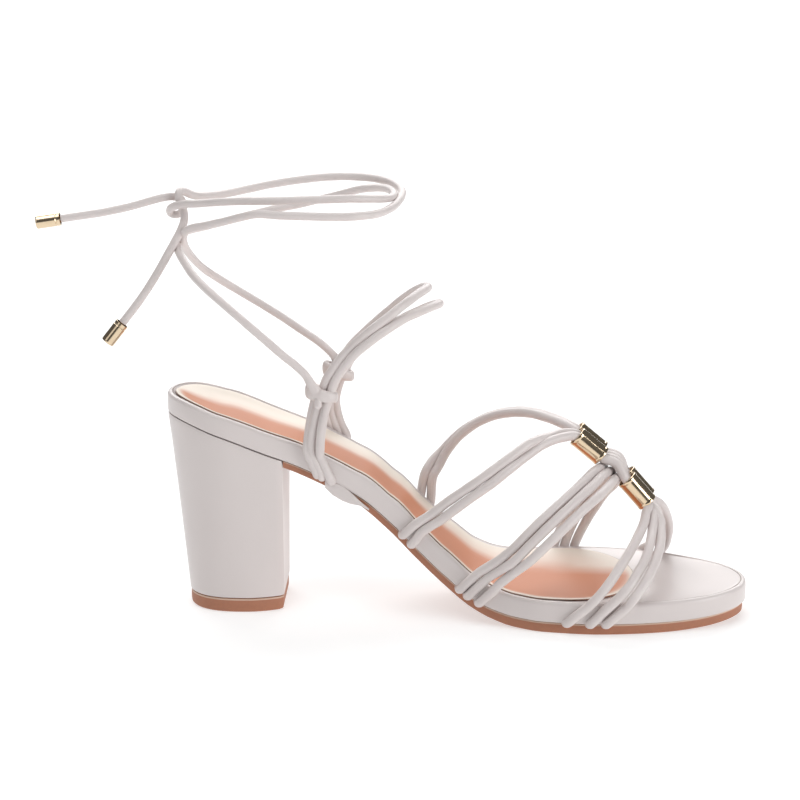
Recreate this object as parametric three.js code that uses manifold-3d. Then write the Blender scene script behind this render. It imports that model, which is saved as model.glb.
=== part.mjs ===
// Block heel sandal for the left foot: a wrapped footbed on a block heel, with cord straps that run
// through four metal tubes, a cord strap over the instep and a cord tie around the ankle.
// Millimetres. X points to the toe, Y to the outer side of the foot, Z up. The origin is the middle
// of the heel tip's underside, where the heel stands on the ground.
import * as THREE from "three";
import { mergeVertices } from "three/addons/utils/BufferGeometryUtils.js";
import Module from "manifold-3d";

const wasm = await Module();
wasm.setup();

// Sizes of the sole
const soleLength = 230;
const ballWidth = 80;
const seatHeight = 75.3; // ground to the sole's underside at the very back
const footbedThickness = 9;
const outsoleThickness = 4.2;
const insoleThickness = 1.1;
const insoleMargin = 3.2; // width of the footbed's rim that the insole leaves free
const insoleLength = 186;
const seatCup = 2.6; // depth of the hollow under the foot's heel
const heelRound = 29; // length of the rounded back of the seat
const toeRound = 65; // length of the rounded toe
const outsoleInset = 1.2;
const outsoleEdge = 1; // chamfer of the outsole's lower edge
const rimChamfer = 1.4; // along the footbed's upper edge
const baseChamfer = 2; // along the footbed's lower edge
const insoleFrontRound = 34;
const clearance = 0.3; // between pieces that touch
const leastHalf = 0.6; // half width at which the outsole's round end closes
const leastInsoleHalf = 1.2;
const endNip = 0.1; // how far a round end stops short of its full length

// Sizes of the heel
const tipHeight = 5.7;
const heelSetback = 28; // back of the seat to the middle of the heel tip
const heelBackSlant = 8.2; // how far the heel's back leans in at the ground
const heelBreast = 46.8; // back of the seat to the heel's flat front
const heelTipHalfWidth = 21;
const heelWidest = 0.58; // share of the heel's length at which it is widest
const heelRoundness = 2.5; // exponent of its rounded back
const heelNarrowing = 0.22; // share of its width lost from there to the breast
const heelSlantEase = 0.9; // exponent of the lean of its back
const leastHeelHalf = 0.8;
const tipInset = 0.4;
const tipChamfer = 0.8;

// Sizes of the straps
const cordRadius = 1.9;
const tuckDepth = 3.2; // how far a strap's end reaches in under the footbed's side
const tuckLift = 0.8; // the end's middle over the footbed's underside
const footTurn = 1; // from the footbed's edges to the turns that a strap's end makes there
const crestRise = 60; // footbed to the highest strap over the ball
const tubeRadius = 4.2;
const tubeWall = 0.7;
const tubeLength = 13;
const tubeGap = 0.5; // between the two tubes of a pair
const tubeSides = 14;
const tubeRim = 0.2; // chamfer of a tube's ends
const tubeMouth = 1.05; // a strand's place just outside a tube, in half lengths of it
const tubeLead = 1.6; // where a strand begins to leave the tube's line
const strandOffset = 1.1; // from a tube's axis to a strand inside it
const archRise = 78; // footbed to the top of the instep strap
const bandHeight = 8.5; // of the wrapped band on each leg of the instep strap
const bandThickness = 2.4;
const bandEdge = 1.4; // chamfer of the band's ends
const bandShift = 1.4; // how far the bands stand forward of their legs' feet
const legGap = 0.6; // between the legs and the footbed's sides, over the clearance
const legSpread = 3.2; // between neighbouring strands of a leg
const legGather = 0.8; // share of that spread left at their tucked ends
const legBend = 0.4; // where a leg bends in to its band, as a share of the height there
const instepRadius = 1.7;
const bandLevel = 0.39; // middle of the bands over the footbed, as a share of crestRise

// Facets of the cords: how many diameters a cord runs on, or how far it turns, in radians, before its
// next section
const cordSides = 8;
const cordStep = 3.1;
const cordTurn = 0.58;
const pathStep = 0.8;

// Sizes of the ankle tie
const tieRadius = 1.6;
const tieTipRadius = 2.7;
const tieTipLength = 10;

// The sole from back to front. along is a share of soleLength. lift, the height of the underside,
// is a share of seatHeight. half and centre, the half width and the offset of the middle line, are
// shares of ballWidth. footbed and outsole are shares of their thicknesses, and cup is one of
// seatCup.
const soleStations = [
  { along: 0.0, lift: 1.0, half: 0.308, centre: 0.0, footbed: 0.9, outsole: 0.6, cup: 0.8 },
  { along: 0.09, lift: 0.931, half: 0.308, centre: 0.0, footbed: 0.9, outsole: 0.6, cup: 1.0 },
  { along: 0.165, lift: 0.843, half: 0.3, centre: 0.0, footbed: 0.92, outsole: 0.6, cup: 0.9 },
  { along: 0.235, lift: 0.758, half: 0.284, centre: -0.001, footbed: 0.93, outsole: 0.62, cup: 0.7 },
  { along: 0.33, lift: 0.606, half: 0.282, centre: -0.002, footbed: 0.88, outsole: 0.64, cup: 0.5 },
  { along: 0.387, lift: 0.458, half: 0.284, centre: -0.006, footbed: 0.84, outsole: 0.66, cup: 0.4 },
  { along: 0.43, lift: 0.325, half: 0.292, centre: -0.015, footbed: 0.86, outsole: 0.7, cup: 0.3 },
  { along: 0.478, lift: 0.194, half: 0.318, centre: -0.028, footbed: 0.88, outsole: 0.74, cup: 0.3 },
  { along: 0.526, lift: 0.084, half: 0.353, centre: -0.042, footbed: 0.93, outsole: 0.8, cup: 0.3 },
  { along: 0.565, lift: 0.031, half: 0.388, centre: -0.053, footbed: 0.96, outsole: 0.92, cup: 0.35 },
  { along: 0.6, lift: 0.008, half: 0.428, centre: -0.061, footbed: 0.96, outsole: 1.0, cup: 0.4 },
  { along: 0.652, lift: 0.0, half: 0.475, centre: -0.069, footbed: 0.95, outsole: 1.0, cup: 0.4 },
  { along: 0.74, lift: 0.0, half: 0.5, centre: -0.08, footbed: 0.95, outsole: 1.0, cup: 0.35 },
  { along: 0.848, lift: 0.0, half: 0.5, centre: -0.093, footbed: 0.95, outsole: 1.0, cup: 0.25 },
  { along: 0.92, lift: 0.009, half: 0.5, centre: -0.12, footbed: 0.93, outsole: 0.95, cup: 0.15 },
  { along: 1.0, lift: 0.03, half: 0.5, centre: -0.163, footbed: 0.9, outsole: 0.9, cup: 0.0 },
];

// A value of the station table at any place along the sole, by a smooth curve that never passes
// beyond its rows.
function stationValue(column, along) {
  const rows = soleStations;
  const here = Math.min(Math.max(along, 0), 1);
  let i = rows.findIndex((row) => row.along >= here);
  i = Math.max(i, 1);
  const slope = (k) => {
    if (k <= 0 || k >= rows.length - 1) return 0;
    const before = (rows[k][column] - rows[k - 1][column]) / (rows[k].along - rows[k - 1].along);
    const after = (rows[k + 1][column] - rows[k][column]) / (rows[k + 1].along - rows[k].along);
    return before * after <= 0 ? 0 : (2 * before * after) / (before + after);
  };
  const span = rows[i].along - rows[i - 1].along;
  const t = (here - rows[i - 1].along) / span;
  const a = rows[i - 1][column];
  const b = rows[i][column];
  return (
    a * (1 + 2 * t) * (1 - t) ** 2 +
    b * t * t * (3 - 2 * t) +
    span * (slope(i - 1) * t * (1 - t) ** 2 - slope(i) * t * t * (1 - t))
  );
}

// Everything that the sole's pieces need to know of its section at x, measured from the seat's back
function soleSection(x) {
  const along = x / soleLength;
  const step = 0.004;
  const rise =
    ((stationValue("lift", along + step) - stationValue("lift", along - step)) * seatHeight) /
    (2 * step * soleLength);
  const stretch = Math.hypot(1, rise); // a slanting layer measures more when it is cut upright
  const backFade = Math.max(0, 1 - x / heelRound);
  const toeFade = Math.max(0, 1 - (soleLength - x) / toeRound);
  const rounding = Math.sqrt(Math.max(0, 1 - backFade ** 2.1)) * Math.sqrt(Math.max(0, 1 - toeFade ** 2));
  const underside = stationValue("lift", along) * seatHeight;
  const outsoleTop = underside + stationValue("outsole", along) * outsoleThickness * stretch;
  const bottom = outsoleTop + clearance;
  const top = bottom + stationValue("footbed", along) * footbedThickness * stretch;
  const half = stationValue("half", along) * ballWidth * rounding;
  const centre = stationValue("centre", along) * ballWidth;
  const cup = stationValue("cup", along) * seatCup;
  return { x, underside, outsoleTop, bottom, top, half, centre, cup };
}

// Stations between two places, drawn together where an end is round
function stationsBetween(start, end, count, tightStart, tightEnd) {
  const list = [];
  for (let i = 0; i <= count; i++) {
    const t = i / count;
    const eased = 0.5 - 0.5 * Math.cos(Math.PI * t);
    const early = 1 - Math.cos((Math.PI / 2) * t);
    const late = Math.sin((Math.PI / 2) * t);
    let share = t;
    if (tightStart && tightEnd) share = 0.35 * t + 0.65 * eased;
    else if (tightStart) share = 0.4 * t + 0.6 * early;
    else if (tightEnd) share = 0.4 * t + 0.6 * late;
    list.push(start + (end - start) * share);
  }
  return list;
}

// A closed body through rings of points, each ring with as many points, closed by a flat fan at
// each end
function loftRings(rings) {
  const positions = rings.flat(2);
  const size = rings[0].length;
  const index = [];
  for (let r = 0; r + 1 < rings.length; r++) {
    for (let k = 0; k < size; k++) {
      const a = r * size + k;
      const b = r * size + ((k + 1) % size);
      const c = a + size;
      const d = b + size;
      index.push(a, d, b, a, c, d);
    }
  }
  for (const [ring, flip] of [[0, true], [rings.length - 1, false]]) {
    const middle = positions.length / 3;
    const points = rings[ring];
    for (let axis = 0; axis < 3; axis++) {
      positions.push(points.reduce((sum, p) => sum + p[axis], 0) / size);
    }
    for (let k = 0; k < size; k++) {
      const a = ring * size + k;
      const b = ring * size + ((k + 1) % size);
      if (flip) index.push(a, b, middle);
      else index.push(b, a, middle);
    }
  }
  const geometry = new THREE.BufferGeometry();
  geometry.setAttribute("position", new THREE.Float32BufferAttribute(positions, 3));
  geometry.setIndex(index);
  return geometry;
}

// The hollow across the footbed's top: how deep it is, as a share of the section's cup, at shares
// of the half width
const hollowShape = [
  { across: 0, depth: 1 },
  { across: 0.5, depth: 0.94 },
  { across: 0.85, depth: 0.48 },
  { across: 1, depth: 0 },
];

// Height of the footbed's hollowed top at a share of its half width, -1 to 1
function hollowedTop(section, share) {
  const here = Math.min(Math.abs(share), 1);
  const next = Math.max(1, hollowShape.findIndex((row) => row.across >= here));
  const a = hollowShape[next - 1];
  const b = hollowShape[next];
  const t = (here - a.across) / (b.across - a.across);
  return section.top - section.cup * (a.depth + (b.depth - a.depth) * t);
}

// Rings of the footbed: upright sides with chamfered edges, a hollowed top and a flat underside
function footbedRing(section) {
  const { x, half, centre, bottom, top } = section;
  const upper = Math.min(rimChamfer, half / 2);
  const lower = Math.min(baseChamfer, half / 2);
  const side = (sign) => [
    [x, centre + sign * (half - lower), bottom],
    [x, centre + sign * half, bottom + lower],
    [x, centre + sign * half, top - upper],
    [x, centre + sign * (half - upper), top],
  ];
  const shares = hollowShape.slice(1, -1).map((row) => row.across);
  const across = [...shares.map((share) => -share).reverse(), 0, ...shares];
  const topPoints = across.map((share) => [x, centre + share * (half - upper), hollowedTop(section, share)]);
  return [...side(-1), ...topPoints, ...side(1).reverse()];
}

// Rings of the outsole: thin, a little narrower than the footbed, with a softened lower edge
function outsoleRing(section) {
  const { x, centre, underside, outsoleTop } = section;
  const half = Math.max(section.half - outsoleInset, leastHalf);
  const edge = Math.min(outsoleEdge, half / 2);
  return [
    [x, centre - half, outsoleTop],
    [x, centre, outsoleTop],
    [x, centre + half, outsoleTop],
    [x, centre + half, underside + edge],
    [x, centre + half - edge, underside],
    [x, centre, underside],
    [x, centre - half + edge, underside],
    [x, centre - half, underside + edge],
  ];
}

// Rings of the insole, which lies in the footbed's hollow within its rim and ends in a round front
function insoleRing(section) {
  const { x, centre } = section;
  const frontFade = Math.max(0, 1 - (insoleLength - x) / insoleFrontRound);
  const backFade = Math.max(0, 1 - (x - insoleMargin) / (heelRound - insoleMargin));
  const rounding = Math.sqrt(Math.max(0, 1 - frontFade ** 2.4)) * Math.sqrt(Math.max(0, 1 - backFade ** 2.1));
  const full = stationValue("half", x / soleLength) * ballWidth - insoleMargin;
  const half = Math.max(full * rounding, leastInsoleHalf);
  const across = [-1, -0.85, -0.5, 0, 0.5, 0.85, 1];
  const inner = section.half - rimChamfer;
  const height = (share) => hollowedTop(section, Math.min(Math.abs(share * half) / inner, 1)) + clearance;
  const lower = across.map((share) => [x, centre + share * half, height(share)]);
  const raised = across.map((share) => [x, centre + share * half, height(share) + insoleThickness]);
  return [...lower.reverse(), ...raised];
}

// Half width of the heel at a share of its length, from its round back to its flat breast
function heelOutline(level, share) {
  const round = Math.max(0, 1 - share / heelWidest);
  const back = Math.max(0, 1 - round ** heelRoundness) ** (1 / heelRoundness);
  const past = Math.max(0, (share - heelWidest) / (1 - heelWidest));
  const narrowing = heelNarrowing * past ** 2;
  const tipHalf = heelTipHalfWidth * back * (1 - narrowing);
  const seatHalf = soleSection(share * heelBreast).half;
  return tipHalf + (seatHalf - tipHalf) * level;
}

// Shares of the heel's length at which its outline has points, drawn together at the back
const heelShares = stationsBetween(0, 1, 12, true, false).map((share) => Math.max(share, 0.004));

// One level ring of the heel: out along one side from the back and home along the other
function heelRing(level, zAt, inset) {
  const slant = heelBackSlant * (1 - level) ** heelSlantEase;
  const point = (share, sign) => {
    const x = slant + inset + share * (heelBreast - slant - inset);
    const half = Math.max(heelOutline(level, share) - inset, leastHeelHalf);
    return [x, sign * half, zAt(share * heelBreast)];
  };
  const outward = heelShares.map((share) => point(share, 1));
  const homeward = heelShares.map((share) => point(share, -1)).reverse();
  return [...homeward, ...outward];
}

// A closed body between level rings whose two sides mirror each other: its ends are closed by
// strips across from side to side, so that they follow a curved seat
function loftMirroredRings(rings) {
  const size = rings[0].length;
  const geometryIndex = [];
  for (let r = 0; r + 1 < rings.length; r++) {
    for (let k = 0; k < size; k++) {
      const a = r * size + k;
      const b = r * size + ((k + 1) % size);
      geometryIndex.push(a, b + size, b, a, a + size, b + size);
    }
  }
  for (const [ring, flip] of [[0, true], [rings.length - 1, false]]) {
    for (let k = 0; k + 1 < size / 2; k++) {
      const a = ring * size + k;
      const b = ring * size + k + 1;
      const c = ring * size + size - 1 - k;
      const d = ring * size + size - 2 - k;
      if (flip) geometryIndex.push(a, b, c, b, d, c);
      else geometryIndex.push(b, a, c, b, c, d);
    }
  }
  const geometry = new THREE.BufferGeometry();
  geometry.setAttribute("position", new THREE.Float32BufferAttribute(rings.flat(2), 3));
  geometry.setIndex(geometryIndex);
  return geometry;
}

function makeHeelBlock() {
  const levels = [0, 0.12, 0.3, 0.5, 0.7, 0.86, 1];
  const seatUnder = (x) => soleSection(x).bottom - clearance;
  const floor = tipHeight + clearance;
  const rings = levels.map((level) => heelRing(level, (x) => floor + level * (seatUnder(x) - floor), 0));
  return loftMirroredRings(rings);
}

function makeHeelTip() {
  return loftMirroredRings([
    heelRing(0, () => 0, tipInset + tipChamfer),
    heelRing(0, () => tipChamfer, tipInset),
    heelRing(0, () => tipHeight, tipInset),
  ]);
}

// Stations that footbed and insole share, so that their faces lie alongside each other
const bedStations = stationsBetween(1.5 * endNip, soleLength - endNip, 32, true, true);

function makeFootbed() {
  return loftRings(bedStations.map((x) => footbedRing(soleSection(x))));
}

function makeOutsole() {
  const stations = stationsBetween(heelBreast + clearance, soleLength - outsoleInset, 26, false, true);
  return loftRings(stations.map((x) => outsoleRing(soleSection(x))));
}

function makeInsole() {
  const back = insoleMargin + endNip;
  const front = insoleLength - endNip;
  const between = bedStations.filter((x) => x > back + 1 && x < front - 1);
  const stations = [back, ...between, front - 3, front - 1, front].sort((a, b) => a - b);
  return loftRings(stations.map((x) => insoleRing(soleSection(x))));
}

// The middle line of a cord, with its sections drawn together where it bends
class CordPath extends THREE.Curve {
  constructor(points, radius) {
    super();
    this.path = new THREE.CatmullRomCurve3(points, false, "centripetal");
    this.path.arcLengthDivisions = 40 * points.length;
    const length = this.path.getLength();
    const count = Math.round(length / pathStep);
    this.places = [0];
    let straight = 0;
    let turned = 0;
    for (let i = 1; i < count; i++) {
      const before = this.path.getTangentAt((i - 1) / count);
      turned += before.angleTo(this.path.getTangentAt(i / count));
      straight += length / count;
      if (turned > cordTurn || straight > cordStep * 2 * radius) {
        this.places.push(i / count);
        straight = 0;
        turned = 0;
      }
    }
    this.places.push(1);
  }

  placeAt(t) {
    const place = t * (this.places.length - 1);
    const i = Math.min(Math.floor(place), this.places.length - 2);
    return this.places[i] + (this.places[i + 1] - this.places[i]) * (place - i);
  }

  getPoint(t) {
    return this.path.getPointAt(this.placeAt(t));
  }

  getPointAt(t) {
    return this.getPoint(t);
  }

  getTangentAt(t) {
    return this.path.getTangentAt(this.placeAt(t));
  }
}

// A round cord through a list of points
function cordGeometry(points, radius) {
  const path = new CordPath(points, radius);
  const outline = [];
  for (let k = 0; k < cordSides; k++) {
    const turn = (2 * Math.PI * k) / cordSides;
    outline.push(new THREE.Vector2(radius * Math.cos(turn), radius * Math.sin(turn)));
  }
  return new THREE.ExtrudeGeometry(new THREE.Shape(outline), {
    steps: path.places.length - 1,
    bevelEnabled: false,
    extrudePath: path,
  });
}

// A geometry as a solid that can be joined and cut
function toSolid(geometry) {
  const bare = geometry.clone();
  bare.deleteAttribute("normal");
  bare.deleteAttribute("uv");
  const merged = mergeVertices(bare, 1e-4);
  return new wasm.Manifold(
    new wasm.Mesh({
      numProp: 3,
      vertProperties: Float32Array.from(merged.attributes.position.array),
      triVerts: Uint32Array.from(merged.index.array),
    }),
  );
}

function toGeometry(solid) {
  const mesh = solid.getMesh();
  const geometry = new THREE.BufferGeometry();
  geometry.setAttribute("position", new THREE.BufferAttribute(Float32Array.from(mesh.vertProperties), 3));
  geometry.setIndex(new THREE.BufferAttribute(Uint32Array.from(mesh.triVerts), 1));
  return geometry;
}

// A point over the sole. along is a share of soleLength, across of ballWidth and up of rise.
function overSole([along, across, up], rise = crestRise) {
  const section = soleSection(along * soleLength);
  return new THREE.Vector3(section.x, across * ballWidth, section.top + up * rise);
}

// The end of a strap: down the footbed's side, from topAlong at its rim to edgeAlong at its lower
// edge, and tucked in between footbed and outsole. side is -1 for the inner side of the foot, 1 for
// the outer.
function foot(side, topAlong, edgeAlong, radius = cordRadius) {
  const proud = radius + clearance;
  const rim = soleSection(topAlong * soleLength);
  const edge = soleSection(edgeAlong * soleLength);
  return [
    new THREE.Vector3(rim.x, rim.centre + side * (rim.half + proud), rim.top - footTurn),
    new THREE.Vector3(edge.x, edge.centre + side * (edge.half + proud), edge.bottom + radius + footTurn),
    new THREE.Vector3(edge.x, edge.centre + side * (edge.half - tuckDepth), edge.bottom + tuckLift),
  ];
}

// The two pairs of metal tubes that gather the straps. slope is how steeply a pair falls to the toe.
const tubePairs = {
  rear: { along: 0.728, across: -0.036, up: 0.885, slope: 40 },
  front: { along: 0.811, across: -0.062, up: 0.592, slope: 49 },
};

// A place on the axis of a tube, shift times half its length from the middle and lifted off the axis
function onTube(pair, side, shift, lift = 0) {
  const { slope } = tubePairs[pair];
  const angle = THREE.MathUtils.degToRad(slope);
  const middle = overSole([tubePairs[pair].along, tubePairs[pair].across, tubePairs[pair].up]);
  middle.y += side * (tubeRadius + tubeGap / 2);
  const along = new THREE.Vector3(Math.cos(angle), 0, -Math.sin(angle));
  const across = new THREE.Vector3(Math.sin(angle), 0, Math.cos(angle));
  return middle.addScaledVector(along, (shift * tubeLength) / 2).addScaledVector(across, lift);
}

// A strand's points from just outside a tube's rear end to just outside its front end
function throughTube(pair, side, lift) {
  return [-tubeLead, -tubeMouth, 0, tubeMouth, tubeLead].map((shift) => onTube(pair, side, shift, lift));
}

// The forefoot straps. Each strand starts with its foot at the rear, and its rows of along, across
// and up lead over the foot.
function forefootStrands() {
  const rows = (list) => list.map((row) => overSole(row));
  const inner = -1;
  const outer = 1;
  return [
    // From the inner waist through the rear and front tubes to the inner ball
    [
      ...foot(inner, 0.437, 0.412).reverse(),
      ...rows([[0.47, -0.355, 0.235], [0.54, -0.365, 0.63], [0.61, -0.3, 0.88], [0.655, -0.2, 0.97]]),
      ...throughTube("rear", inner, strandOffset),
      ...rows([[0.776, -0.09, 0.785]]),
      ...throughTube("front", inner, strandOffset),
      ...rows([[0.825, -0.25, 0.41], [0.801, -0.405, 0.33], [0.768, -0.54, 0.19]]),
      ...foot(inner, 0.722, 0.69),
    ],
    [
      ...foot(inner, 0.454, 0.428).reverse(),
      ...rows([[0.486, -0.395, 0.21], [0.54, -0.415, 0.545], [0.608, -0.365, 0.815], [0.66, -0.225, 0.93]]),
      ...throughTube("rear", inner, -strandOffset),
      ...rows([[0.77, -0.105, 0.745]]),
      ...throughTube("front", inner, -strandOffset),
      ...rows([[0.84, -0.28, 0.38], [0.821, -0.455, 0.25], [0.8, -0.565, 0.12]]),
      ...foot(inner, 0.75, 0.713),
    ],
    // A third strand from the front tube to the inner ball
    [
      onTube("front", inner, 0.2, 0),
      onTube("front", inner, tubeMouth, 0),
      onTube("front", inner, tubeLead, 0),
      ...rows([[0.856, -0.2, 0.38], [0.858, -0.3, 0.315], [0.847, -0.465, 0.19]]),
      ...foot(inner, 0.8, 0.757),
    ],
    // From the outer waist through the far tubes to the outer side of the toes
    [
      ...foot(outer, 0.44, 0.43).reverse(),
      ...rows([[0.457, 0.29, 0.23], [0.478, 0.34, 0.42], [0.51, 0.362, 0.62], [0.577, 0.325, 0.93]]),
      ...rows([[0.648, 0.19, 0.985]]),
      ...throughTube("rear", outer, strandOffset),
      ...rows([[0.776, 0.005, 0.785]]),
      ...throughTube("front", outer, strandOffset),
      ...rows([[0.858, 0.07, 0.43], [0.876, 0.2, 0.29], [0.88, 0.29, 0.15]]),
      ...foot(outer, 0.872, 0.866),
    ],
    [
      ...foot(outer, 0.462, 0.45).reverse(),
      ...rows([[0.476, 0.315, 0.2], [0.497, 0.36, 0.42], [0.53, 0.37, 0.66], [0.59, 0.32, 0.895]]),
      ...rows([[0.655, 0.19, 0.935]]),
      ...throughTube("rear", outer, -strandOffset),
      ...rows([[0.77, 0.0, 0.745]]),
      ...throughTube("front", outer, -strandOffset),
      ...rows([[0.85, 0.1, 0.4], [0.862, 0.24, 0.28], [0.86, 0.35, 0.14]]),
      ...foot(outer, 0.843, 0.835),
    ],
    // Three strands from the inner side behind the ball, under the bridge between the tubes, to the
    // outer side of the ball
    [
      ...foot(inner, 0.536, 0.507).reverse(),
      ...rows([[0.592, -0.515, 0.31], [0.636, -0.49, 0.485], [0.694, -0.375, 0.66], [0.73, -0.21, 0.74]]),
      ...rows([[0.751, -0.04, 0.736], [0.751, 0.13, 0.64], [0.74, 0.275, 0.45], [0.722, 0.38, 0.22]]),
      ...foot(outer, 0.703, 0.697),
    ],
    [
      ...foot(inner, 0.557, 0.527).reverse(),
      ...rows([[0.612, -0.54, 0.3], [0.669, -0.505, 0.505], [0.714, -0.38, 0.645], [0.746, -0.21, 0.71]]),
      ...rows([[0.763, -0.04, 0.71], [0.763, 0.13, 0.615], [0.753, 0.275, 0.425], [0.738, 0.38, 0.21]]),
      ...foot(outer, 0.72, 0.714),
    ],
    [
      ...foot(inner, 0.578, 0.547).reverse(),
      ...rows([[0.629, -0.555, 0.28], [0.672, -0.54, 0.43], [0.71, -0.48, 0.53], [0.738, -0.36, 0.63]]),
      ...rows([[0.76, -0.2, 0.69], [0.771, -0.04, 0.665], [0.77, 0.13, 0.565], [0.766, 0.275, 0.4]]),
      ...rows([[0.75, 0.38, 0.2]]),
      ...foot(outer, 0.737, 0.731),
    ],
  ];
}

// A round tube about the X axis, open at both ends
function makeTube() {
  const inner = tubeRadius - tubeWall;
  const profile = [
    [inner, -tubeLength / 2],
    [tubeRadius - tubeRim, -tubeLength / 2],
    [tubeRadius, -tubeLength / 2 + tubeRim],
    [tubeRadius, tubeLength / 2 - tubeRim],
    [tubeRadius - tubeRim, tubeLength / 2],
    [inner, tubeLength / 2],
    [inner, -tubeLength / 2],
  ];
  const points = profile.map(([radius, height]) => new THREE.Vector2(radius, height));
  const geometry = new THREE.LatheGeometry(points, tubeSides);
  geometry.rotateZ(-Math.PI / 2);
  return geometry;
}

// The instep strap. Two strands make an arch over the instep, and a third, short one joins them on
// each leg, below the band that is wrapped around all three.
const legs = {
  inner: { side: -1, along: 0.266, lean: 0.014 },
  outer: { side: 1, along: 0.292, lean: 0.0 },
};

// The middle of the band that is wrapped around a leg's strands
function bandMiddle(name) {
  const { side, along } = legs[name];
  const section = soleSection(along * soleLength);
  const out = section.half + instepRadius + clearance + legGap;
  return new THREE.Vector3(
    section.x + bandShift,
    section.centre + side * out,
    section.top + bandLevel * crestRise,
  );
}

function legStrand(name, place) {
  const { side, along, lean } = legs[name];
  const offset = (place * legSpread) / soleLength;
  const section = soleSection((along + offset) * soleLength);
  const edgeAlong = along + lean + offset * legGather;
  const inBand = bandMiddle(name);
  inBand.x += place * legSpread;
  const below = inBand.clone();
  below.x = section.x;
  below.z = section.top + (inBand.z - section.top) * legBend;
  return [...foot(side, along + offset, edgeAlong, instepRadius).reverse(), below, inBand];
}

// The band around the strands of a leg
function makeBand(name) {
  const middle = bandMiddle(name);
  const reach = bandThickness * 0.5 + instepRadius;
  const outline = new THREE.Shape();
  outline.absarc(legSpread, 0, reach, -Math.PI / 2, Math.PI / 2);
  outline.absarc(-legSpread, 0, reach, Math.PI / 2, (Math.PI * 3) / 2);
  const band = new THREE.ExtrudeGeometry(outline, {
    depth: bandHeight - 2 * bandEdge,
    bevelEnabled: true,
    bevelThickness: bandEdge,
    bevelSize: bandEdge / 2,
    bevelOffset: -bandEdge / 2,
    bevelSegments: 1,
    curveSegments: 5,
  });
  band.translate(0, 0, -bandHeight / 2 + bandEdge);
  band.translate(middle.x, middle.y, middle.z);
  return band;
}

// A point of the instep strap or the ankle tie. along is a share of soleLength, across of ballWidth
// and up of archRise, over the footbed between the legs.
function archPoint(along, across, up) {
  const level = soleSection(legs.inner.along * soleLength).top + up * archRise;
  return new THREE.Vector3(along * soleLength, across * ballWidth, level);
}

function instepStrands() {
  const arch = (front, top, near, far) => [
    archPoint(near + 0.06, -0.35, 0.535),
    archPoint(near + 0.12, -0.27, 0.685),
    archPoint(front - 0.015, -0.12, top - 0.02),
    archPoint(front, 0.0, top),
    archPoint(front - 0.02, 0.12, top - 0.035),
    archPoint(far + 0.1, 0.26, 0.6),
    archPoint(far + 0.05, 0.325, 0.45),
  ];
  return [
    [...legStrand("inner", 0), ...arch(0.455, 0.778, 0.288, 0.292), ...legStrand("outer", 0).reverse()],
    [...legStrand("inner", 1), ...arch(0.475, 0.69, 0.3, 0.305), ...legStrand("outer", 1).reverse()],
    legStrand("inner", -1),
    legStrand("outer", -1),
  ];
}

const forefootSolid = forefootStrands()
  .map((points) => toSolid(cordGeometry(points, cordRadius)))
  .reduce((joined, strand) => joined.add(strand));
const forefootRoom = forefootStrands()
  .map((points) => toSolid(cordGeometry(points, cordRadius + clearance)))
  .reduce((joined, strand) => joined.add(strand));
const instepSolid = instepStrands()
  .map((points) => toSolid(cordGeometry(points, instepRadius)))
  .concat(Object.keys(legs).map((name) => toSolid(makeBand(name))))
  .reduce((joined, strand) => joined.add(strand));
const instepRoom = instepStrands()
  .map((points) => toSolid(cordGeometry(points, instepRadius + clearance)))
  .reduce((joined, strand) => joined.add(strand));

const footbedSolid = toSolid(makeFootbed()).subtract(forefootRoom).subtract(instepRoom);
const outsoleSolid = toSolid(makeOutsole()).subtract(forefootRoom).subtract(instepRoom);

// The ankle tie, two cords with a metal tip each. Each leaves the band on its leg, and its rows of
// along, across and up, a share of archRise, lead on from there: round behind the ankle to the outer
// side, round the front and home along the inner side, through the knot and out backwards
const innerTieRoute = [
  [0.22, -0.381, 0.492], [0.185, -0.4, 0.582], [0.116, -0.344, 0.742], [0.07, -0.244, 0.829],
  [0.037, -0.131, 0.901], [0.022, -0.037, 0.957], [0.027, 0.056, 1.013], [0.057, 0.163, 1.054],
  [0.109, 0.263, 1.075], [0.168, 0.325, 1.106], [0.217, 0.35, 1.137], [0.284, 0.331, 1.188],
  [0.335, 0.237, 1.241], [0.374, 0.106, 1.268], [0.389, -0.025, 1.263], [0.372, -0.15, 1.265],
  [0.318, -0.256, 1.278], [0.23, -0.325, 1.283], [0.139, -0.275, 1.269], [0.078, -0.169, 1.243],
  [0.042, -0.065, 1.225], [0.017, -0.013, 1.222], [-0.034, 0, 1.2], [-0.08, 0, 1.161],
  [-0.128, 0, 1.136], [-0.177, 0, 1.118],
];
// Behind the ankle to the inner side, round the front and home along the outer side, once round the
// other cord as the knot, and down
const outerTieRoute = [
  [0.254, 0.375, 0.413], [0.188, 0.381, 0.541], [0.119, 0.331, 0.678], [0.065, 0.206, 0.816],
  [0.043, 0.094, 0.919], [0.042, -0.019, 1.006], [0.049, -0.119, 1.075], [0.07, -0.212, 1.128],
  [0.108, -0.312, 1.172], [0.168, -0.375, 1.211], [0.243, -0.4, 1.214], [0.311, -0.375, 1.211],
  [0.363, -0.281, 1.206], [0.397, -0.131, 1.225], [0.409, 0.025, 1.265], [0.382, 0.188, 1.286],
  [0.331, 0.312, 1.283], [0.26, 0.375, 1.27], [0.167, 0.375, 1.234], [0.103, 0.294, 1.209],
  [0.061, 0.169, 1.211], [0.037, 0.077, 1.242], [0.023, 0.01, 1.273], [0.013, -0.053, 1.252],
  [0.006, -0.065, 1.201], [0.009, -0.042, 1.16], [0.022, -0.028, 1.145], [0.033, -0.053, 1.123],
  [0.03, -0.085, 1.065], [0.014, -0.106, 0.99], [-0.023, -0.125, 0.815], [-0.068, -0.15, 0.614],
];

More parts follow.
